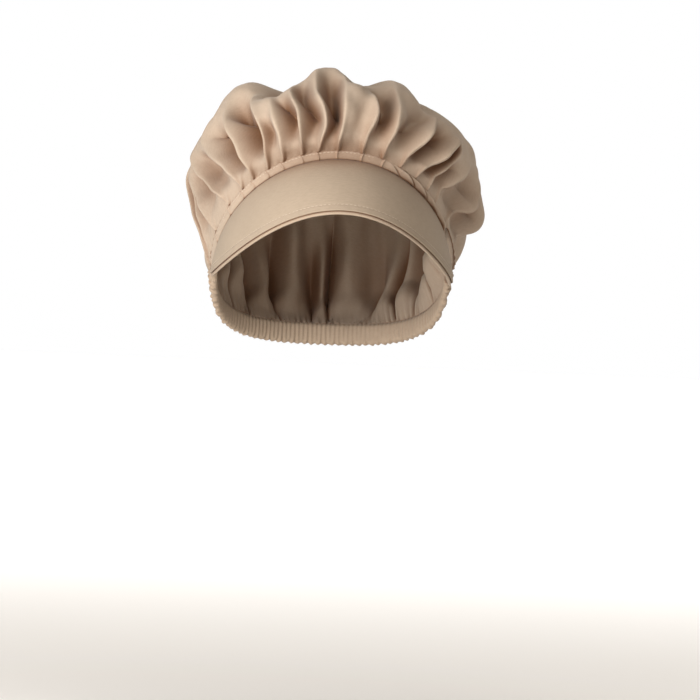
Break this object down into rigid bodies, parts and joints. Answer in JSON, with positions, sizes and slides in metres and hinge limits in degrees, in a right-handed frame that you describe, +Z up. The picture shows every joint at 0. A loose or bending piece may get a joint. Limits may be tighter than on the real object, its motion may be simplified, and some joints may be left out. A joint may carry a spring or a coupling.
{
  "type": "work cap",
  "caption": "Soft work cap as worn: a puffed crown gathered onto a stiff crescent peak in front and onto a ruched elastic casing at the back.",
  "frame": {"origin": "middle of the head opening, level with the peak's two tips", "axes": "+Z up, -Y to the front, where the peak points, +X to the right as seen from the front"},
  "size_m": [0.1988, 0.2694, 0.1797],
  "materials": {
    "twill": "matte cotton twill, beige",
    "twill_facing": "matte cotton twill, beige, under the peak",
    "twill_casing": "matte cotton twill, beige, ruched"
  },
  "bodies": {
    "root": {"crown": "twill", "gather_band": "twill", "peak": "twill", "peak_facing": "twill_facing", "elastic_casing": "twill_casing"}
  },
  "joints": []
}
